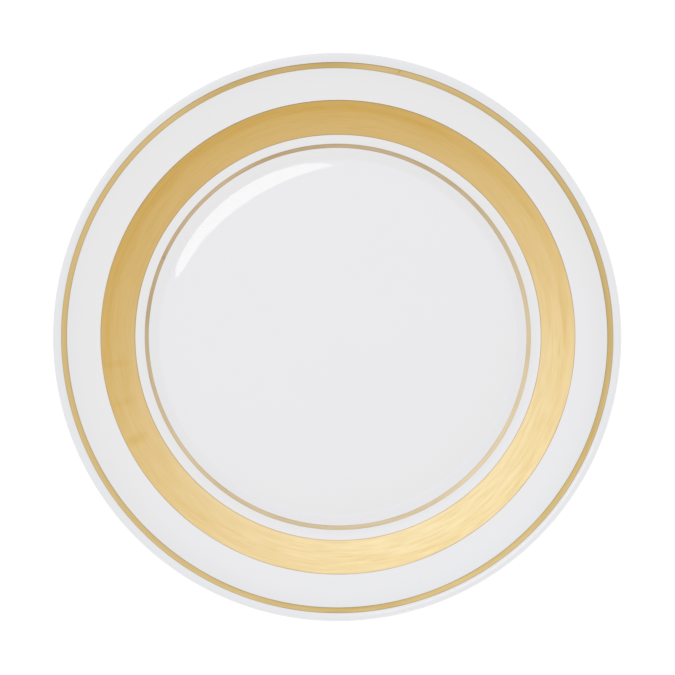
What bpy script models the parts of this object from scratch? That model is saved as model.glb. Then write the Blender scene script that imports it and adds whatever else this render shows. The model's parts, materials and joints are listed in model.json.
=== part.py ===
"""A rimmed china dinner plate with three fired gold bands.

The plate stands on its foot ring, with the centre of the standing face at the origin, +Z up, in metres.
Every piece is turned about Z, so the whole shape comes from one cross-section in the plane y = 0: the skin,
which is the outside of a complete coat of glaze. The porcelain lies a little inside the skin, and the two
glazed areas are thin shells between the two. Under each gold band the skin, the glaze and the porcelain
all dip, so that the band's top is almost level with the glaze beside it.
"""

from math import acos, asin, cos, pi, radians, sin

import bpy
import numpy as np

# Driving dimensions
PLATE_RADIUS = 0.1335
WELL_HEIGHT = 0.0078  # the well's flat middle, above the table
WELL_THICKNESS = 0.0046
LIP_RADIUS = 0.00145  # the rim ends in a half round

# The face, from the centre outwards: the slope in degrees at each radius, with one arc between two stations
WELL_FLAT_RADIUS = 0.066
WELL_EDGE_RADIUS = 0.0836
WALL_FOOT_RADIUS = 0.0875
WALL_TOP_RADIUS = 0.0893
SHOULDER_RADIUS = 0.0955
RIM_TURN_RADIUS = 0.1140
RIM_STEEPEST_RADIUS = 0.1272
CROWN_SLOPE = -2.75  # the well falls away a little towards its edge, so that it stays flat in the kiln
WALL_SLOPE = 36.0
RIM_SLOPE = 9.5
RIM_STEEPEST_SLOPE = 20.0
LIP_SLOPE = 5.0
LIP_START_RADIUS = PLATE_RADIUS - LIP_RADIUS * (1 + sin(radians(LIP_SLOPE)))
FACE_STATIONS = (
    (0.0, 0.0),
    (WELL_FLAT_RADIUS, 0.0),
    (WELL_EDGE_RADIUS, CROWN_SLOPE),
    (WALL_FOOT_RADIUS, WALL_SLOPE),
    (WALL_TOP_RADIUS, WALL_SLOPE),
    (SHOULDER_RADIUS, RIM_SLOPE),
    (RIM_TURN_RADIUS, RIM_SLOPE),
    (RIM_STEEPEST_RADIUS, RIM_STEEPEST_SLOPE),
    (LIP_START_RADIUS, LIP_SLOPE),
)

# Thickness of the plate on the way from the well's edge to the lip
THICKNESS_RADII = (WELL_EDGE_RADIUS, SHOULDER_RADIUS, LIP_START_RADIUS)
THICKNESSES = (WELL_THICKNESS, 0.0042, 2 * LIP_RADIUS)

# The foot ring
FOOT_OUTER_RADIUS = 0.0805  # where its outer side leaves the back of the plate
FOOT_FACE_WIDTH = 0.0030
FOOT_DRAFT = radians(12.0)  # its sides lean by this much
FOOT_FILLET = 0.0018
FOOT_EDGE_RADIUS = 0.0014

# Layers. A real glaze is 0.1 to 0.2 mm thick, fired gold is under a micrometre thick, and each is fused to
# what is under it. Here each is a solid of its own that keeps a gap to its neighbour.
GAP = 0.0003
GLAZE_THICKNESS = 0.0003
GOLD_THICKNESS = 0.0003
GOLD_RISE = 0.00005  # the gold's top above the glaze beside it
GROOVE_DEPTH = GOLD_THICKNESS + GAP - GOLD_RISE
PORCELAIN_DEPTH = GLAZE_THICKNESS + GAP  # from the skin down to the porcelain
GLAZE_STOP_HEIGHT = 0.0012  # the glaze ends this far above the table, and the foot below is bare
GOLD_BANDS = {
    "inner_gold_line": (0.0893, 0.0913),
    "wide_gold_band": (0.0956, 0.1118),
    "outer_gold_line": (0.1266, 0.1294),
}

TURNS = 48  # facets round the plate
CHORD_ERROR = 0.00008  # how far the straight pieces of an arc may stray from it

# Colour, roughness and metallic value
PORCELAIN = ((0.86, 0.85, 0.83), 0.55, 0.0)
GLAZE = ((0.82, 0.82, 0.835), 0.08, 0.0)
GOLD = ((0.78, 0.54, 0.20), 0.35, 1.0)


class Pen:
    """Draws the skin's cross-section. The outside is on the left of the way that the pen is heading.

    Headings are in radians: 0 is outwards along +X, and pi / 2 is up.
    """

    def __init__(self, x, z, heading):
        self.x, self.z, self.heading = x, z, heading
        self.points = [(x, z, heading)]

    def forward(self, length):
        self.x += length * cos(self.heading)
        self.z += length * sin(self.heading)
        self.points.append((self.x, self.z, self.heading))

    def to_height(self, z):
        self.forward((z - self.z) / sin(self.heading))

    def turn(self, heading, radius):
        """One arc to a new heading. A turn to the left makes a hollow, and one to the right a round edge."""
        start, bend = self.heading, heading - self.heading
        side = 1 if bend > 0 else -1
        steps = max(1, round(abs(bend) / (2 * acos(1 - CHORD_ERROR / radius))))
        centre_x = self.x - side * radius * sin(start)
        centre_z = self.z + side * radius * cos(start)
        for step in range(1, steps + 1):
            self.heading = start + bend * step / steps
            self.x = centre_x + side * radius * sin(self.heading)
            self.z = centre_z - side * radius * cos(self.heading)
            self.points.append((self.x, self.z, self.heading))

    def out_to(self, x, heading):
        """The one arc that reaches the radius x with the given heading, or a straight line if it stays."""
        if heading == self.heading:
            self.forward((x - self.x) / cos(heading))
        else:
            self.turn(heading, abs((x - self.x) / (sin(heading) - sin(self.heading))))


def face_at(radius):
    """The face's point and heading at any radius, worked out along the arcs between its stations."""
    z = WELL_HEIGHT
    for (x0, slope0), (x1, slope1) in zip(FACE_STATIONS, FACE_STATIONS[1:]):
        start, end = radians(slope0), radians(slope1)
        reach = min(radius, x1) - x0
        if slope0 == slope1:
            heading = start
            z += reach * sin(start) / cos(start)
        else:
            arc_radius = (x1 - x0) / (sin(end) - sin(start))
            heading = asin(sin(start) + reach / arc_radius)
            z += arc_radius * (cos(start) - cos(heading))
        if radius <= x1:
            break
    return radius, z, heading


def moved_out(point, distance):
    """A point of the skin moved along its outward normal. A negative distance goes into the plate."""
    x, z, heading = point
    return max(0.0, x - distance * sin(heading)), z + distance * cos(heading)


def face_points():
    pen = Pen(0.0, WELL_HEIGHT, 0.0)
    for radius, slope in FACE_STATIONS[1:]:
        pen.out_to(radius, radians(slope))
    return pen.points


def lip_points(face_end):
    """The half round from the end of the face to the start of the back, without those two ends."""
    pen = Pen(*face_end)
    pen.turn(-pi / 2, LIP_RADIUS)
    pen.turn(face_end[2] - pi, LIP_RADIUS)
    return pen.points[1:-1]


def back_points(face):
    """The back of the rim and the wall, from the lip inwards: the face's own points, a thickness away."""
    points = []
    for point in reversed(face):
        if point[0] > WELL_EDGE_RADIUS:
            thickness = np.interp(point[0], THICKNESS_RADII, THICKNESSES)
            points.append((*moved_out(point, -thickness), point[2] - pi))
    return points


def foot_points():
    """The foot ring and what it encloses, as three runs: its glazed outer side, its bare face, its inside."""
    ceiling = WELL_HEIGHT - WELL_THICKNESS
    pen = Pen(FOOT_OUTER_RADIUS, ceiling, -pi)
    pen.turn(-pi / 2 - FOOT_DRAFT, FOOT_FILLET)
    pen.to_height(GLAZE_STOP_HEIGHT)
    outer_count = len(pen.points)
    # The porcelain stands at z = 0, so the skin of its foot, which is never glazed, is below that.
    pen.to_height(FOOT_EDGE_RADIUS * (1 - sin(FOOT_DRAFT)) - PORCELAIN_DEPTH)
    pen.turn(-pi, FOOT_EDGE_RADIUS)
    pen.forward(FOOT_FACE_WIDTH)
    pen.turn(-3 * pi / 2 + FOOT_DRAFT, FOOT_EDGE_RADIUS)
    pen.to_height(GLAZE_STOP_HEIGHT)
    bare_count = len(pen.points) - 1
    pen.to_height(ceiling - FOOT_FILLET * (1 - sin(FOOT_DRAFT)))
    pen.turn(-pi, FOOT_FILLET)
    pen.forward(pen.x)
    return pen.points[:outer_count], pen.points[outer_count:bare_count], pen.points[bare_count:]


def stretch(face, low, high, depth):
    """The face between two radii, at a depth below the skin."""
    between = [point for point in face if low < point[0] < high]
    return [moved_out(point, -depth) for point in [face_at(low), *between, face_at(high)]]


def grooved_face(face, depth):
    """The whole face at a depth below the skin, dipping under each gold band."""
    line = []
    reached = 0.0
    for inner, outer in GOLD_BANDS.values():
        start, end = inner - GAP - depth, outer + GAP + depth
        line += stretch(face, reached, start, depth)
        line += stretch(face, start, end, depth + GROOVE_DEPTH)
        reached = end
    return line + stretch(face, reached, LIP_START_RADIUS, depth)


def outline(depth):
    """The plate's outline at a depth below the skin, from the middle of the face to that of the underside.

    It comes in three runs. The first is the face, lip, back and the foot's outer side, the second is the foot's
    bare standing face, and the third is the recess inside the foot.
    """
    face = face_points()
    outer_side, bare, recess = foot_points()
    around = lip_points(face[-1]) + back_points(face) + outer_side
    upper = grooved_face(face, depth) + [moved_out(point, -depth) for point in around]
    return upper, [moved_out(point, -depth) for point in bare], [moved_out(point, -depth) for point in recess]


def gold_section(inner, outer):
    face = face_points()
    top = stretch(face, inner, outer, -GOLD_RISE)
    underside = stretch(face, inner, outer, GOLD_THICKNESS - GOLD_RISE)
    return top + underside[::-1]


def material(name, look):
    colour, roughness, metallic = look
    made = bpy.data.materials.new(name)
    made.use_nodes = True
    shader = made.node_tree.nodes["Principled BSDF"]
    shader.inputs["Base Color"].default_value = (*colour, 1.0)
    shader.inputs["Roughness"].default_value = roughness
    shader.inputs["Metallic"].default_value = metallic
    return made


def turned(name, section, look, collection):
    """Turns a cross-section about Z. One that starts on the axis also ends there, and any other is a ring."""
    edges = [(i, i + 1) for i in range(len(section) - 1)]
    if section[0][0] > GAP:
        edges.append((len(section) - 1, 0))
    mesh = bpy.data.meshes.new(name)
    mesh.from_pydata([(x, 0.0, z) for x, z in section], edges, [])
    mesh.materials.append(look)
    piece = bpy.data.objects.new(name, mesh)
    collection.objects.link(piece)
    screw = piece.modifiers.new("Turn", "SCREW")
    screw.steps = TURNS
    screw.render_steps = TURNS
    screw.use_merge_vertices = True
    screw.merge_threshold = 0.00001
    screw.use_smooth_shade = True


def build():
    for obj in list(bpy.data.objects):
        bpy.data.objects.remove(obj)
    plate = bpy.data.collections.new("dinner_plate")
    bpy.context.scene.collection.children.link(plate)

    porcelain = material("porcelain", PORCELAIN)
    glaze = material("glaze", GLAZE)
    gold = material("gold", GOLD)

    upper, bare, recess = outline(PORCELAIN_DEPTH)
    turned("porcelain_body", upper + bare + recess, porcelain, plate)
    glaze_top, _, recess_top = outline(0.0)
    glaze_under, _, recess_under = outline(GLAZE_THICKNESS)
    turned("glaze_coat", glaze_top + glaze_under[::-1], glaze, plate)
    turned("foot_recess_glaze", recess_under[::-1] + recess_top, glaze, plate)
    for name, (inner, outer) in GOLD_BANDS.items():
        turned(name, gold_section(inner, outer), gold, plate)


build()
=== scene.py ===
"""The looks of a china dinner plate: glossy white glaze, three hand-laid gold bands and a bare foot ring.

Like the CAD model, every surface is turned about Z from one cross-section, the skin, which is the outside
of the glaze. Here the turning is fine enough to look round, the layers touch, and the gold is a thin film
whose edges wander a little, as a brush leaves them on a turning wheel.
"""

import json
from math import cos, pi, radians, sin, tau

import bpy
import numpy as np
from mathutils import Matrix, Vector


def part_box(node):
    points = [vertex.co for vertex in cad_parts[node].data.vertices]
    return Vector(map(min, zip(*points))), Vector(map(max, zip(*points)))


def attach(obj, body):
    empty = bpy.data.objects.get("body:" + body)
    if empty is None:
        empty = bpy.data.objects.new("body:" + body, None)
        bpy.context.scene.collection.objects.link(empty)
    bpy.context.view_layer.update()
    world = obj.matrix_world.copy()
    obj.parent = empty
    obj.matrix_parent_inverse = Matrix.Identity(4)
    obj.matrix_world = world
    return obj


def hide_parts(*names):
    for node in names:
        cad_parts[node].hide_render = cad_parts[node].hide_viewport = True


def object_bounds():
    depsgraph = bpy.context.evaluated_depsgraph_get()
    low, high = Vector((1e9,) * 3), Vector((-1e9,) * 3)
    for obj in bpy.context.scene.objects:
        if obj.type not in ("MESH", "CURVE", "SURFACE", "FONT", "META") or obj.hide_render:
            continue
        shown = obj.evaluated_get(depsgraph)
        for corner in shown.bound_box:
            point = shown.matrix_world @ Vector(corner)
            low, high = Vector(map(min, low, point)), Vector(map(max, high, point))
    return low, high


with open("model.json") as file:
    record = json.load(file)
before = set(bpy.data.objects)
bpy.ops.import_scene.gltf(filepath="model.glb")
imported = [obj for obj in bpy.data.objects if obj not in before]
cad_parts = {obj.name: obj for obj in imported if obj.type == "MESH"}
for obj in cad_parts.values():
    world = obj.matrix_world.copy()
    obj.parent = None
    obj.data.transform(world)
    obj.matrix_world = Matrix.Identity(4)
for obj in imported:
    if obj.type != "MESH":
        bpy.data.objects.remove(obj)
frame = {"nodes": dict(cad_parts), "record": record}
CAD_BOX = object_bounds()

# ---------------------------------------------------------------------------------------------------------
# The shape, in metres. It is the CAD model's own, and what the frame can give is read from it.

MOUNTS = {mount["name"]: mount for mount in frame["record"]["mounts"]}
PLATE_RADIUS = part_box("glaze_coat")[1].x
WELL_HEIGHT = MOUNTS["well_floor"]["pos_m"][2]
GLAZE_STOP_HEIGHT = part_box("foot_recess_glaze")[0].z  # the glaze ends here, and the foot below it is bare

WELL_THICKNESS = 0.0046
LIP_RADIUS = 0.00145
WELL_EDGE_RADIUS = 0.0836
SHOULDER_RADIUS = 0.0955
LIP_SLOPE = 5.0
LIP_START_RADIUS = PLATE_RADIUS - LIP_RADIUS * (1 + sin(radians(LIP_SLOPE)))
FACE_STATIONS = (  # radius, and slope in degrees, with one arc between two stations
    (0.0, 0.0),
    (0.066, 0.0),
    (WELL_EDGE_RADIUS, -2.75),
    (0.0875, 36.0),
    (0.0893, 36.0),
    (SHOULDER_RADIUS, 9.5),
    (0.1140, 9.5),
    (0.1272, 20.0),
    (LIP_START_RADIUS, LIP_SLOPE),
)
THICKNESS_RADII = (WELL_EDGE_RADIUS, SHOULDER_RADIUS, LIP_START_RADIUS)
THICKNESSES = (WELL_THICKNESS, 0.0042, 2 * LIP_RADIUS)
FOOT_OUTER_RADIUS = 0.0805
FOOT_FACE_WIDTH = 0.0030
FOOT_DRAFT = radians(12.0)
FOOT_FILLET = 0.0018
FOOT_EDGE_RADIUS = 0.0014
PORCELAIN_DEPTH = 0.0006  # from the skin down to the porcelain

TURNS = 300  # steps round the plate
FACE_STEP = 0.0030  # longest step along the face
FACE_BEND = radians(2.5)  # most bend in one step along the face
FACE_SAMPLES = 4001  # radii at which the face is worked out before it is cut into such steps
ARC_BEND = radians(10.0)  # most bend in one step of the lip's and the foot's arcs
SHARP_ANGLE = radians(40.0)

BEAD_LENGTH = 0.0004  # the glaze rounds off over this length where it stops on the foot
BEAD_POINTS = 7

# The gold is a film on the glaze.
GOLD_THICKNESS = 0.00005
GOLD_SINK = 0.00002  # how far the film reaches into the glaze, so that nothing shows under it
GOLD_EDGE = 0.00012  # width of the film's rounded edge
GOLD_EDGE_POINTS = 5
GOLD_UNDER_POINTS = 4
GOLD_STEP = 0.0006
GOLD_TURNS = 720

# How the inner and the outer edge of each band wander: the amplitude in metres and the phase in degrees of a
# wave with one crest round the plate, then of one with two, and of one with three
WANDER = {
    "inner_gold_line": (
        ((0.00024, 40), (0.00017, -84)),
        ((0.00031, 13), (0.00015, -89)),
    ),
    "wide_gold_band": (
        ((0.00046, -18), (0.00007, -78), (0.00009, 110)),
        ((0.00037, -7), (0.00005, -36), (0.00006, 125)),
    ),
    "outer_gold_line": (
        ((0.00028, -115), (0.00025, -65), (0.00015, 45)),
        ((0.00021, -107), (0.00022, -51), (0.00012, 44)),
    ),
}


def face_table():
    """Radius, height and heading of the face in fine steps, worked out from the stations' slopes."""
    stations = np.array(FACE_STATIONS)
    radius = np.linspace(0.0, LIP_START_RADIUS, FACE_SAMPLES)
    sines = np.interp(radius, stations[:, 0], np.sin(np.radians(stations[:, 1])))
    slope = sines / np.sqrt(1 - sines**2)
    rises = np.diff(radius) * (slope[1:] + slope[:-1]) / 2
    height = WELL_HEIGHT + np.concatenate([[0.0], np.cumsum(rises)])
    return radius, height, np.arcsin(sines)


FACE_RADIUS, FACE_HEIGHT, FACE_HEADING = face_table()


def face_at(radius, lift=0.0):
    """Points (radius, height) on the face, moved along its normal by the lift."""
    height = np.interp(radius, FACE_RADIUS, FACE_HEIGHT)
    heading = np.interp(radius, FACE_RADIUS, FACE_HEADING)
    return np.stack([radius - lift * np.sin(heading), height + lift * np.cos(heading)], axis=-1)


def moved_out(points, distance):
    """Skin points (radius, height, heading) moved along the outward normal, as (radius, height)."""
    radius, height, heading = np.array(points).T
    moved = np.stack([radius - distance * np.sin(heading), height + distance * np.cos(heading)], axis=-1)
    moved[:, 0] = moved[:, 0].clip(0.0)
    return moved


class Pen:
    """Draws the skin's cross-section, with the outside on the left of the way that it is heading."""

    def __init__(self, x, z, heading):
        self.x, self.z, self.heading = x, z, heading
        self.points = [(x, z, heading)]

    def forward(self, length):
        self.x += length * cos(self.heading)
        self.z += length * sin(self.heading)
        self.points.append((self.x, self.z, self.heading))

    def to_height(self, z):
        self.forward((z - self.z) / sin(self.heading))

    def turn(self, heading, radius):
        start, bend = self.heading, heading - self.heading
        side = 1 if bend > 0 else -1
        steps = round(abs(bend) / ARC_BEND) + 1
        centre_x = self.x - side * radius * sin(start)
        centre_z = self.z + side * radius * cos(start)
        for step in range(1, steps + 1):
            self.heading = start + bend * step / steps
            self.x = centre_x + side * radius * sin(self.heading)
            self.z = centre_z - side * radius * cos(self.heading)
            self.points.append((self.x, self.z, self.heading))


def face_points():
    """The face from its middle to the lip, with closer steps where it bends more."""
    bends = np.abs(np.diff(FACE_HEADING)) / FACE_BEND + np.diff(FACE_RADIUS) / FACE_STEP
    effort = np.concatenate([[0.0], np.cumsum(bends)])
    radius = np.interp(np.linspace(0.0, effort[-1], round(effort[-1]) + 1), effort, FACE_RADIUS)
    height = np.interp(radius, FACE_RADIUS, FACE_HEIGHT)
    heading = np.interp(radius, FACE_RADIUS, FACE_HEADING)
    return list(zip(radius, height, heading))


def lip_points(face_end):
    pen = Pen(*face_end)
    pen.turn(-pi / 2, LIP_RADIUS)
    pen.turn(face_end[2] - pi, LIP_RADIUS)
    return pen.points[1:-1]


def back_points(face):
    """The back of the rim and the wall, from the lip inwards: the face's own points, a thickness away."""
    points = []
    for point in reversed(face):
        if point[0] > WELL_EDGE_RADIUS:
            thickness = np.interp(point[0], THICKNESS_RADII, THICKNESSES)
            x, z = moved_out([point], -thickness)[0]
            points.append((x, z, point[2] - pi))
    return points


def foot_points():
    """The foot ring and what it encloses: its glazed outer side, its bare face, its glazed inside."""
    ceiling = WELL_HEIGHT - WELL_THICKNESS
    pen = Pen(FOOT_OUTER_RADIUS, ceiling, -pi)
    pen.turn(-pi / 2 - FOOT_DRAFT, FOOT_FILLET)
    pen.to_height(GLAZE_STOP_HEIGHT)
    outer_count = len(pen.points)
    pen.to_height(FOOT_EDGE_RADIUS * (1 - sin(FOOT_DRAFT)) - PORCELAIN_DEPTH)
    pen.turn(-pi, FOOT_EDGE_RADIUS)
    pen.forward(FOOT_FACE_WIDTH)
    pen.turn(-3 * pi / 2 + FOOT_DRAFT, FOOT_EDGE_RADIUS)
    pen.to_height(GLAZE_STOP_HEIGHT)
    bare_count = len(pen.points) - 1
    pen.to_height(ceiling - FOOT_FILLET * (1 - sin(FOOT_DRAFT)))
    pen.turn(-pi, FOOT_FILLET)
    pen.forward(pen.x)
    return pen.points[:outer_count], pen.points[outer_count:bare_count], pen.points[bare_count:]


def skin_runs():
    """The skin in three runs: face, lip, back and the foot's outer side; bare foot; recess in the foot."""
    face = face_points()
    outer_side, bare, recess = foot_points()
    return face + lip_points(face[-1]) + back_points(face) + outer_side, bare, recess


# ---------------------------------------------------------------------------------------------------------
# Meshes


def azimuths(turns):
    return np.arange(turns) * tau / turns


def swing(azimuth, waves):
    """How far an edge with these waves wanders outwards at each azimuth."""
    total = np.zeros_like(azimuth)
    for crests, (amplitude, phase) in enumerate(waves, start=1):
        total += amplitude * np.cos(crests * azimuth - radians(phase))
    return total


def turned(name, sections, material):
    """A mesh turned about Z from its sections, an array of (azimuth, point, radius and height).

    A section that starts on the axis also ends there, and any other is a closed ring.
    """
    turns, count = sections.shape[:2]
    azimuth = azimuths(turns)[:, None]
    radius, height = sections.transpose(2, 0, 1)
    height = height.clip(CAD_BOX[0].z, CAD_BOX[1].z)
    points = np.stack([radius * np.cos(azimuth), radius * np.sin(azimuth), height], axis=-1)
    on_axis = sections[0, 0, 0] == 0
    if on_axis:
        ends = [points[0, 0], points[0, -1]]
        points = points[:, 1:-1]
        rows = count - 3
    else:
        ends = []
        rows = count
    per_turn = points.shape[1]
    verts = [*points.reshape(-1, 3).tolist(), *ends]
    faces = []
    for turn in range(turns):
        here, there = turn * per_turn, (turn + 1) % turns * per_turn
        for row in range(rows):
            after = (row + 1) % per_turn
            faces.append([here + row, here + after, there + after, there + row])
        if on_axis:
            top, bottom = len(verts) - 2, len(verts) - 1
            faces.append([top, here, there])
            faces.append([bottom, there + rows, here + rows])
    mesh = bpy.data.meshes.new(name)
    mesh.from_pydata(verts, [], faces)
    mesh.materials.append(material)
    mesh.shade_smooth()
    mesh.set_sharp_from_angle(angle=SHARP_ANGLE)
    piece = bpy.data.objects.new(name, mesh)
    bpy.context.scene.collection.objects.link(piece)
    return piece


def turned_alike(name, section, material):
    return turned(name, np.tile(np.array(section), (TURNS, 1, 1)), material)


def bead(stop, way):
    """The glaze's rounded end, from skin to porcelain: ahead of the stop if way is 1, behind it if -1."""
    x, z, heading = stop
    turn = np.linspace(0.0, pi / 2, BEAD_POINTS)
    along = way * BEAD_LENGTH * (1 - np.sin(turn))
    depth = PORCELAIN_DEPTH * (1 - np.cos(turn))
    return np.stack([x + along * cos(heading) + depth * sin(heading),
                     z + along * sin(heading) - depth * cos(heading)], axis=-1)


def porcelain_body(material):
    upper, bare, recess = skin_runs()
    return turned_alike("porcelain_body_fine", moved_out(upper + bare + recess, -PORCELAIN_DEPTH), material)


def glaze_coat(material):
    upper, _, _ = skin_runs()
    outside = moved_out(upper[:-1], 0.0)
    inside = moved_out(upper[:-1], -PORCELAIN_DEPTH)[::-1]
    return turned_alike("glaze_coat_fine", [*outside, *bead(upper[-1], -1), *inside], material)


def foot_recess_glaze(material):
    _, _, recess = skin_runs()
    inside = moved_out(recess[1:], -PORCELAIN_DEPTH)[::-1]
    outside = moved_out(recess[1:], 0.0)
    section = [*inside, *bead(recess[0], 1)[::-1], *outside]
    return turned_alike("foot_recess_glaze_fine", section, material)


def keep_values(piece, name, values):
    """Keeps a value for each vertex of a turned piece, for its material to read."""
    attribute = piece.data.attributes.new(name, "FLOAT", "POINT")
    attribute.data.foreach_set("value", values.ravel())


def band_radii(node):
    """A gold node's inner and outer radius. Its top climbs from its smallest radius to its highest point."""
    places = [(vertex.co.xy.length, vertex.co.z) for vertex in frame["nodes"][node].data.vertices]
    return min(places)[0], max(places, key=lambda place: place[1])[0]


def gold_band(node, material):
    """A thin film on the face, with rounded edges that wander as the brush did.

    Its section is given by each point's share of the way from the inner to the outer edge, and by its lift
    off the glaze. Its material reads each point's distance from the nearer edge, and its side of the band,
    from -1 at the inner edge to 1 at the outer one.
    """
    inner, outer = band_radii(node)
    mean_width = outer - inner
    turn = np.linspace(0.0, pi / 2, GOLD_EDGE_POINTS)
    edge = GOLD_EDGE * (1 - np.cos(turn))
    edge_lift = (GOLD_THICKNESS + GOLD_SINK) * np.sin(turn) - GOLD_SINK
    steps = round(mean_width / GOLD_STEP) + 2
    middle = np.linspace(GOLD_EDGE, mean_width - GOLD_EDGE, steps)[1:-1]
    top = np.concatenate([edge, middle, (mean_width - edge)[::-1]]) / mean_width
    top_lift = np.concatenate([edge_lift, np.full(len(middle), GOLD_THICKNESS), edge_lift[::-1]])
    under = np.linspace(1.0, 0.0, GOLD_UNDER_POINTS + 2)[1:-1]
    share = np.concatenate([top, under])
    lift = np.concatenate([top_lift, np.full(len(under), -GOLD_SINK)])

    azimuth = azimuths(GOLD_TURNS)
    inner_waves, outer_waves = WANDER[node]
    start = inner + swing(azimuth, inner_waves)
    end = outer + swing(azimuth, outer_waves)
    width = (end - start)[:, None]
    piece = turned(node + "_film", face_at(start[:, None] + width * share, lift), material)
    keep_values(piece, "from_edge", width * np.minimum(share, 1 - share))
    keep_values(piece, "side", np.broadcast_to(2 * share - 1, (GOLD_TURNS, len(share))))
    return piece


# ---------------------------------------------------------------------------------------------------------
# Materials. All patterns are in metres, in the plate's own frame. A noise's scale is about how many of its
# swells there are in a metre, and a height of relief is the most that the noise raises the surface.

GLAZE_COLOUR = (0.875, 0.870, 0.877)
POOLED_AND_SHADED_GLAZE_COLOUR = (0.820, 0.826, 0.842)  # thick glaze takes a blue-grey tint, and the same tint is painted shade in the cove and towards the lip
COVE_RADIUS = 0.0853  # painted shade where the well turns up into the rim
COVE_REACH = 0.0022
COVE_PAINTED_SHADE = 0.3
LIP_SHADE_START = 0.1170  # and painted shade from here out to the lip
LIP_SHADE_FULL = 0.1310
LIP_PAINTED_SHADE = 0.8
CLOUD_SCALE = 22.0  # and the glaze's tint is a little uneven all over
CLOUD_POOLING = 0.12
GLOSS_SCALE = 65.0
GLOSS_ROUGHNESS = (0.018, 0.032)
COVE_START = 0.0838  # the gloss is duller in the cove's bend
COVE_END = 0.0876
COVE_FADE = 0.0006
COVE_ROUGHNESS = 0.28
SWELL_SCALE = 70.0
SWELL_HEIGHT = 6e-6
ORANGE_PEEL_SCALE = 650.0
ORANGE_PEEL_HEIGHT = 1.5e-7

BISQUE_COLOUR = (0.800, 0.775, 0.735)
BISQUE_SHADE = (0.700, 0.665, 0.610)
BISQUE_ROUGHNESS = (0.55, 0.75)
BLOTCH_SCALE = 160.0
GRAIN_SCALE = 3500.0
GRAIN_HEIGHT = 2.5e-5

# The gold's colour goes from pale to deep as it gets thicker, in its streaks and marks. As painted shade it
# is also deeper towards one side of the plate, the shade's side in degrees, with the load as its strength.
# That painted shade starts so far round, where 1 is that side and -1 the opposite one.
GOLD_LOOKS = {
    "inner_gold_line": {
        "pale": (0.835, 0.655, 0.400), "deep": (0.410, 0.285, 0.145), "metallic": 0.8,
        "load_side": 118.0, "load_start": -0.6, "load": 0.68, "hairline": 0.25,
    },
    "wide_gold_band": {
        "pale": (0.775, 0.525, 0.232), "deep": (0.605, 0.352, 0.085), "metallic": 1.0,
        "load_side": 115.0, "load_start": -1.0, "load": 0.50, "hairline": 0.8,
    },
    "outer_gold_line": {
        "pale": (0.735, 0.520, 0.228), "deep": (0.500, 0.325, 0.105), "metallic": 1.0,
        "load_side": 310.0, "load_start": -0.3, "load": 0.65, "hairline": 0.7,
    },
}
HAIRLINE_SHADE_COLOUR = (0.240, 0.190, 0.130)  # painted shade along the gold's edges
HAIRLINE_FULL = 0.00018
HAIRLINE_WIDTH = 0.00065
HAIRLINE_SIDE = 85.0  # edges that face this way, in degrees, get the most of this painted shade
HAIRLINE_LEAST = 0.55  # the share of that painted shade that all the others have
HAIRLINE_ROUGHNESS = 0.2  # and the edge is duller by so much

FINE_STREAK = (0.0007, 0.12)  # bristle marks: so many metres wide and so many radians long
FINE_STREAK_DEPTH = 0.14
FINE_STREAK_HEIGHT = 0.5e-6
BROAD_STREAK = (0.0030, 0.35)
BROAD_STREAK_DEPTH = 0.16
BROAD_STREAK_HEIGHT = 1.6e-6
GOLD_ROUGHNESS = (0.30, 0.40)
GOLD_GRAIN_SCALE = 900.0
GOLD_GRAIN_HEIGHT = 4e-7

# The wide band has one long streak round it. Its outer part takes more of the painted shade, and its inner
# part is paler all the way round.
BAND_STREAK_RADIUS = 0.1078
BAND_STREAK_REACH = 0.0024
BAND_STREAK_PATCHES = 1.4  # scale of the noise, here over the directions round the plate
BAND_STREAK_DEPTH = (0.03, 0.15)
BAND_OUTER_PAINTED_SHADE = 0.6
BAND_INNER_PALING = 0.12

SPOT_CORE = 0.1  # the share of a spot's size that has its full strength
# The spots with a half length of 0.02 m or more darken whole stretches of a line: they are painted shade.
# The others are marks in the gold.
SPOTS = {  # darker places in the gold: radius, azimuth, direction, half length, half width and strength
    "inner_gold_line": (
        (0.0900, 155.4, 120.0, 0.0010, 0.0007, 0.8),
        (0.0903, 268.0, 358.0, 0.1000, 0.0500, 0.35),
        (0.0903, 102.0, 192.0, 0.0380, 0.0150, 0.14),
    ),
    "wide_gold_band": (
        (0.1040, 187.0, 187.0, 0.0095, 0.0030, 0.17),
        (0.1045, 197.0, 199.0, 0.0085, 0.0030, 0.17),
        (0.1065, 207.0, 203.0, 0.0080, 0.0040, 0.28),
    ),
    "outer_gold_line": (
        (0.1279, 76.8, 41.0, 0.0022, 0.0008, 0.6),
        (0.1279, 91.0, 181.0, 0.0240, 0.0150, 0.35),
        (0.1279, 107.0, 197.0, 0.0640, 0.0150, 0.45),
        (0.1279, 273.0, 183.0, 0.0600, 0.0150, 0.25),
    ),
}


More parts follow.
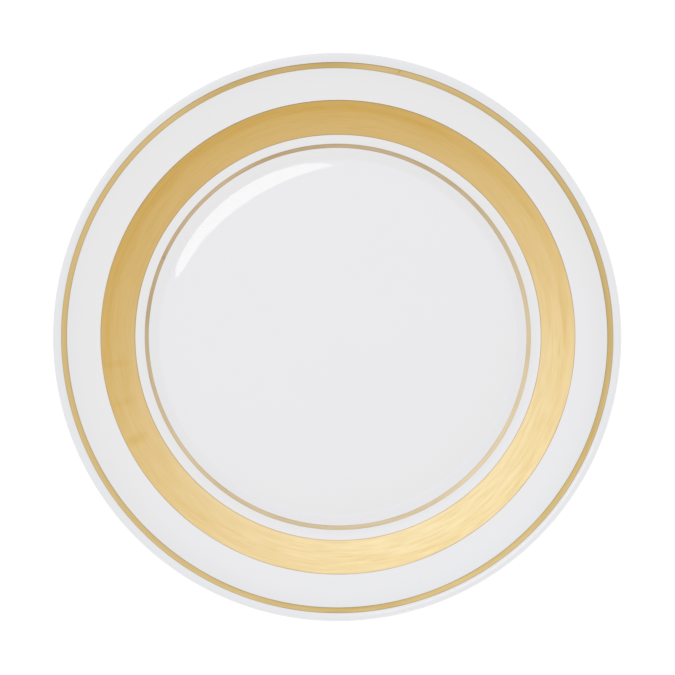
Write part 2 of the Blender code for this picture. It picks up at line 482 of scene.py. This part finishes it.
class Nodes:
    """Short calls that add nodes to a tree. An input is a number, a colour, a vector or a node's output."""

    def __init__(self, tree):
        self.tree = tree

    def add(self, kind, inputs=(), output=0, **settings):
        node = self.tree.nodes.new("ShaderNode" + kind)
        for setting, value in settings.items():
            setattr(node, setting, value)
        for socket, value in dict(inputs).items():
            self.feed(node.inputs[socket], value)
        return node.outputs[output]

    def feed(self, socket, value):
        if isinstance(value, bpy.types.NodeSocket):
            self.tree.links.new(value, socket)
        elif socket.type == "RGBA":
            socket.default_value = (*value, 1.0)
        else:
            socket.default_value = value

    def math(self, operation, *values):
        return self.add("Math", enumerate(values), operation=operation)

    def total(self, *values):
        result = values[0]
        for value in values[1:]:
            result = self.math("ADD", result, value)
        return result

    def vector_math(self, operation, *values):
        output = "Value" if operation in ("DOT_PRODUCT", "LENGTH") else "Vector"
        return self.add("VectorMath", enumerate(values), output, operation=operation)

    def noise(self, vector, scale, detail=2.0):
        return self.add("TexNoise", {"Vector": vector, "Scale": scale, "Detail": detail})

    def step(self, value, start, end, low=0.0, high=1.0):
        """Goes smoothly from low to high as the value goes from start to end."""
        inputs = {"Value": value, "From Min": start, "From Max": end, "To Min": low, "To Max": high}
        return self.add("MapRange", inputs, interpolation_type="SMOOTHSTEP")

    def near(self, value, middle, reach):
        """1 where the value is at the middle, and smoothly down to 0 at the reach on either side."""
        away = self.math("ABSOLUTE", self.math("SUBTRACT", value, middle))
        return self.step(away, 0.0, reach, 1.0, 0.0)

    def mix(self, share, first, second):
        """The colour between two colours. A Mix node keeps a socket for each of its data types."""
        node = self.tree.nodes.new("ShaderNodeMix")
        node.data_type = "RGBA"
        values = {"Factor_Float": share, "A_Color": first, "B_Color": second}
        for socket in node.inputs:
            if socket.identifier in values:
                self.feed(socket, values[socket.identifier])
        return next(socket for socket in node.outputs if socket.identifier == "Result_Color")


class Surface(Nodes):
    """A Principled material. Its constants sit on the shader's own sockets."""

    def __init__(self, name, **constants):
        self.material = bpy.data.materials.new(name)
        self.material.use_nodes = True
        super().__init__(self.material.node_tree)
        self.shader = self.tree.nodes["Principled BSDF"]
        for socket, value in constants.items():
            self.shader.inputs[socket.replace("_", " ")].default_value = value
        self.place = self.add("TexCoord", output="Object")
        self.flat = self.vector_math("MULTIPLY", self.place, (1.0, 1.0, 0.0))
        self.radius = self.vector_math("LENGTH", self.flat)
        self.direction = self.vector_math("NORMALIZE", self.flat)

    def finish(self, colour, roughness, relief):
        """Feeds the colour, the roughness and the relief, a height in metres."""
        self.feed(self.shader.inputs["Base Color"], colour)
        self.feed(self.shader.inputs["Roughness"], roughness)
        normal = self.add("Bump", {"Height": relief, "Distance": 1.0})
        self.feed(self.shader.inputs["Normal"], normal)
        return self.material


def glaze():
    look = Surface("glaze", IOR=1.5)
    cove = look.near(look.radius, COVE_RADIUS, COVE_REACH)
    cloud = look.noise(look.place, CLOUD_SCALE, 3.0)
    # painted shade in the cove and towards the lip, and the glaze's own uneven tint
    pooled_and_shaded = look.total(
        look.math("MULTIPLY", cove, COVE_PAINTED_SHADE),
        look.step(look.radius, LIP_SHADE_START, LIP_SHADE_FULL, 0.0, LIP_PAINTED_SHADE),
        look.step(cloud, 0.3, 0.8, 0.0, CLOUD_POOLING),
    )
    colour = look.mix(pooled_and_shaded, GLAZE_COLOUR, POOLED_AND_SHADED_GLAZE_COLOUR)
    gloss = look.step(look.noise(look.place, GLOSS_SCALE, 3.0), 0.3, 0.7, *GLOSS_ROUGHNESS)
    in_cove = look.step(look.radius, COVE_START, COVE_START + COVE_FADE)
    past_cove = look.step(look.radius, COVE_END - COVE_FADE, COVE_END, COVE_ROUGHNESS, 0.0)
    roughness = look.math("MULTIPLY_ADD", in_cove, past_cove, gloss)
    swell = look.math("MULTIPLY", look.noise(look.place, SWELL_SCALE, 1.0), SWELL_HEIGHT)
    orange_peel = look.math("MULTIPLY", look.noise(look.place, ORANGE_PEEL_SCALE, 1.0), ORANGE_PEEL_HEIGHT)
    return look.finish(colour, roughness, look.total(swell, orange_peel))


def bisque():
    look = Surface("bisque", IOR=1.5)
    blotches = look.noise(look.place, BLOTCH_SCALE, 3.0)
    grains = look.noise(look.place, GRAIN_SCALE, 2.0)
    shade = look.math("MULTIPLY", look.step(grains, 0.45, 0.7), look.step(blotches, 0.2, 0.9))
    colour = look.mix(shade, BISQUE_COLOUR, BISQUE_SHADE)
    roughness = look.step(grains, 0.2, 0.8, *BISQUE_ROUGHNESS)
    relief = look.math("MULTIPLY", grains, GRAIN_HEIGHT)
    return look.finish(colour, roughness, relief)


def spot(look, radius, azimuth, direction, half_length, half_width, strength):
    """A soft oval on the face, given by its middle, the direction of its long axis, and its size."""
    middle = (radius * cos(radians(azimuth)), radius * sin(radians(azimuth)), 0.0)
    inputs = {
        "Vector": look.flat,
        "Location": middle,
        "Rotation": (0.0, 0.0, radians(direction)),
        "Scale": (half_length, half_width, 1.0),
    }
    from_middle = look.vector_math("LENGTH", look.add("Mapping", inputs, vector_type="TEXTURE"))
    return look.step(from_middle, SPOT_CORE, 1.0, strength, 0.0)


def streaks(look, across, along):
    """Bristle marks round the plate: a noise that is stretched along the brush's way."""
    run = look.vector_math("SCALE", look.direction)
    run.node.inputs["Scale"].default_value = 1 / along
    lift = look.add("CombineXYZ", {"Z": look.math("MULTIPLY", look.radius, 1 / across)})
    return look.noise(look.vector_math("ADD", run, lift), 1.0)


def towards(azimuth, tilt=90.0):
    """The direction at an azimuth, so many degrees from straight up."""
    across = sin(radians(tilt))
    return Vector((across * cos(radians(azimuth)), across * sin(radians(azimuth)), cos(radians(tilt))))


def gold(node):
    choice = GOLD_LOOKS[node]
    look = Surface(node.replace("_", " "), Metallic=choice["metallic"])
    side = look.add("Attribute", output="Fac", attribute_name="side")
    fine = streaks(look, *FINE_STREAK)
    broad = streaks(look, *BROAD_STREAK)
    # load is painted shade: the gold is made deeper towards one side of the plate, as the light falls on it
    round_to_painted_shade_side = look.vector_math("DOT_PRODUCT", look.direction, towards(choice["load_side"]))
    load = look.step(round_to_painted_shade_side, choice["load_start"], 1.0, 0.0, choice["load"])

    deeper_and_shaded = look.total(
        load,
        look.step(fine, 0.35, 0.75, 0.0, FINE_STREAK_DEPTH),
        look.step(broad, 0.40, 0.75, 0.0, BROAD_STREAK_DEPTH),
        *(spot(look, *place) for place in SPOTS[node]),
    )
    if node == "wide_gold_band":
        patches = look.noise(look.direction, BAND_STREAK_PATCHES)
        uneven = look.step(patches, 0.35, 0.6, *BAND_STREAK_DEPTH)
        ring = look.near(look.radius, BAND_STREAK_RADIUS, BAND_STREAK_REACH)
        deeper_and_shaded = look.math("MULTIPLY_ADD", ring, uneven, deeper_and_shaded)
        # painted shade: the band's outer part is deeper still towards the shade's side, and its inner part
        # is paler all round
        outer_part = look.step(side, -0.2, 1.0)
        outer_painted_shade = look.math("MULTIPLY", load, BAND_OUTER_PAINTED_SHADE)
        deeper_and_shaded = look.math("MULTIPLY_ADD", outer_part, outer_painted_shade, deeper_and_shaded)
        deeper_and_shaded = look.math("ADD", deeper_and_shaded, look.step(side, -1.0, -0.1, -BAND_INNER_PALING, 0.0))
    colour = look.mix(deeper_and_shaded, choice["pale"], choice["deep"])

    # painted shade along the film's edges, strongest on outer edges that face the hairline's side
    from_edge = look.add("Attribute", output="Fac", attribute_name="from_edge")
    facing = look.vector_math("DOT_PRODUCT", look.direction, towards(HAIRLINE_SIDE))
    outward = look.math("MULTIPLY", look.math("MAXIMUM", side, 0.0), facing)
    hairline = look.math(
        "MULTIPLY",
        look.step(from_edge, HAIRLINE_FULL, HAIRLINE_WIDTH, choice["hairline"], 0.0),
        look.step(outward, 0.0, 1.0, HAIRLINE_LEAST, 1.0),
    )
    colour = look.mix(hairline, colour, HAIRLINE_SHADE_COLOUR)

    brushed = look.step(fine, 0.2, 0.8, *GOLD_ROUGHNESS)
    roughness = look.total(brushed, look.math("MULTIPLY", hairline, HAIRLINE_ROUGHNESS))
    relief = look.total(
        look.math("MULTIPLY", fine, FINE_STREAK_HEIGHT),
        look.math("MULTIPLY", broad, BROAD_STREAK_HEIGHT),
        look.math("MULTIPLY", look.noise(look.place, GOLD_GRAIN_SCALE), GOLD_GRAIN_HEIGHT),
    )
    return look.finish(colour, roughness, relief)


# ---------------------------------------------------------------------------------------------------------
# The plate


def add_plate():
    bisque_look = bisque()
    glaze_look = glaze()
    pieces = [
        (porcelain_body(bisque_look), "porcelain_body", "porcelain"),
        (glaze_coat(glaze_look), "glaze_coat", "glaze"),
        (foot_recess_glaze(glaze_look), "foot_recess_glaze", "glaze"),
    ]
    for node in WANDER:
        pieces.append((gold_band(node, gold(node)), node, "gold"))
    for piece, node, slot in pieces:
        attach(piece, "root")
        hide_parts(node)


# ---------------------------------------------------------------------------------------------------------
# The studio

FLOOR_DROP = 0.0002
FLOOR_SIZE = 80.0
FLOOR_COLOUR = (0.80, 0.80, 0.80)
FLOOR_GLOW = 0.95  # at full strength. It starts under the rim and is full just past the lip, so the floor is darker under the plate: partly real shadow and partly painted shadow
FLOOR_GLOW_START = 0.100
FLOOR_GLOW_FULL = 0.1345

CAMERA_PLACE = (0.00015, -0.00024, 1.1484)
SENSOR_WIDTH = 0.036
PICTURE_WIDTH = 0.31675  # what the picture takes in at the rim's height

# Brightness of the studio round the plate
SKY_GLOW = (1.05, 1.03, 0.92)
HORIZON_GLOW = (0.42, 0.45, 0.80)  # added towards the horizon
HORIZON_TOP = 0.6  # height of the direction, where 1 is straight up, at which that starts
DUSK = (-0.62, -0.62, -0.84)  # added to the lowest part of the sky, which is duller
DUSK_TOP = 0.27  # height of the direction at which that starts
SOFT_LIGHTS = (  # azimuth, tilt from straight up and reach in degrees, and brightness
    (117.0, 14.0, 26.0, (0.78, 0.96, 1.55)),
    (115.0, 50.0, 50.0, (0.34, 0.37, 0.48)),
    (300.0, 76.0, 60.0, (0.45, 0.43, 0.55)),
)

# The light panel that the well's edge mirrors as a crescent. Its near edge is drawn by points, given to the
# side and away from the plate's axis. Its far edge is an arc about the axis, short of what the rim mirrors.
PANEL_HEIGHT = 5.0
PANEL_AZIMUTH = 124.0
PANEL_NEAR_EDGE = ((-0.620, 0.722), (0.250, 0.719), (0.420, 0.678), (0.500, 0.692), (0.550, 0.757))
PANEL_REACH = 0.95
PANEL_ARC = (35.0, -40.0)
PANEL_ARC_POINTS = 16
PANEL_BRIGHTNESS = 9.7

FILM_WHITE = 1.8  # the brightness that comes out as white
FILM_SHOULDER = 1.7
FILM_POINTS = 9


def add_sheet(name, corners, colour, glow):
    """A flat glowing piece of the studio. Its glow is a number, or a step over the radius."""
    look = Surface(name, Roughness=0.9)
    look.feed(look.shader.inputs["Base Color"], colour)
    look.feed(look.shader.inputs["Emission Color"], (1.0, 1.0, 1.0))
    strength = look.step(look.radius, *glow) if isinstance(glow, tuple) else glow
    look.feed(look.shader.inputs["Emission Strength"], strength)
    mesh = bpy.data.meshes.new(name)
    mesh.from_pydata(corners, [], [range(len(corners))])
    mesh.materials.append(look.material)
    sheet = bpy.data.objects.new(name, mesh)
    bpy.context.scene.collection.objects.link(sheet)
    return look.material


def add_floor():
    half = FLOOR_SIZE / 2
    corners = [(x * half, y * half, -FLOOR_DROP) for x, y in ((-1, -1), (1, -1), (1, 1), (-1, 1))]
    glow = (FLOOR_GLOW_START, FLOOR_GLOW_FULL, 0.0, FLOOR_GLOW)
    material = add_sheet("floor", corners, FLOOR_COLOUR, glow)
    material.cycles.emission_sampling = "NONE"


def add_panel():
    arc = [(sin(radians(turn)), cos(radians(turn))) for turn in np.linspace(*PANEL_ARC, PANEL_ARC_POINTS)]
    far_edge = [(PANEL_REACH * side, PANEL_REACH * away) for side, away in arc]
    ahead = towards(PANEL_AZIMUTH)
    aside = towards(PANEL_AZIMUTH + 90)
    up = Vector((0.0, 0.0, PANEL_HEIGHT))
    corners = [up + ahead * away + aside * side for side, away in [*PANEL_NEAR_EDGE, *far_edge]]
    add_sheet("panel", corners, (0.0, 0.0, 0.0), PANEL_BRIGHTNESS)


def add_sky():
    world = bpy.data.worlds.new("studio")
    world.use_nodes = True
    bpy.context.scene.world = world
    look = Nodes(world.node_tree)
    direction = look.add("TexCoord", output="Generated")
    height = look.add("SeparateXYZ", {"Vector": direction}, output="Z")
    horizon = look.step(height, HORIZON_TOP, 0.0)
    light = look.vector_math("MULTIPLY_ADD", horizon, HORIZON_GLOW, SKY_GLOW)
    low = look.step(height, DUSK_TOP, 0.0)
    light = look.vector_math("MULTIPLY_ADD", low, DUSK, light)
    for azimuth, tilt, reach, brightness in SOFT_LIGHTS:
        facing = look.vector_math("DOT_PRODUCT", direction, towards(azimuth, tilt))
        share = look.step(facing, cos(radians(reach)), 1.0)
        light = look.vector_math("MULTIPLY_ADD", share, brightness, light)
    look.feed(world.node_tree.nodes["Background"].inputs["Color"], light)


def add_camera():
    data = bpy.data.cameras.new("camera")
    data.sensor_width = SENSOR_WIDTH * 1000
    rim_height = CAD_BOX[1].z - LIP_RADIUS
    data.lens = data.sensor_width * (CAMERA_PLACE[2] - rim_height) / PICTURE_WIDTH
    camera = bpy.data.objects.new("camera", data)
    camera.location = CAMERA_PLACE
    bpy.context.scene.collection.objects.link(camera)
    bpy.context.scene.camera = camera


def set_film():
    """A soft shoulder, as film has, so that bright gold pales before it turns white."""
    settings = bpy.context.scene.view_settings
    settings.view_transform = "Standard"
    settings.use_curve_mapping = True
    mapping = settings.curve_mapping
    mapping.white_level = (FILM_WHITE, FILM_WHITE, FILM_WHITE)
    all_colours = mapping.curves[3]
    for place in np.linspace(0.0, 1.0, FILM_POINTS)[1:-1]:
        all_colours.points.new(place, 1 - (1 - place) ** FILM_SHOULDER)
    mapping.update()


add_plate()
add_floor()
add_sky()
add_panel()
add_camera()
set_film()
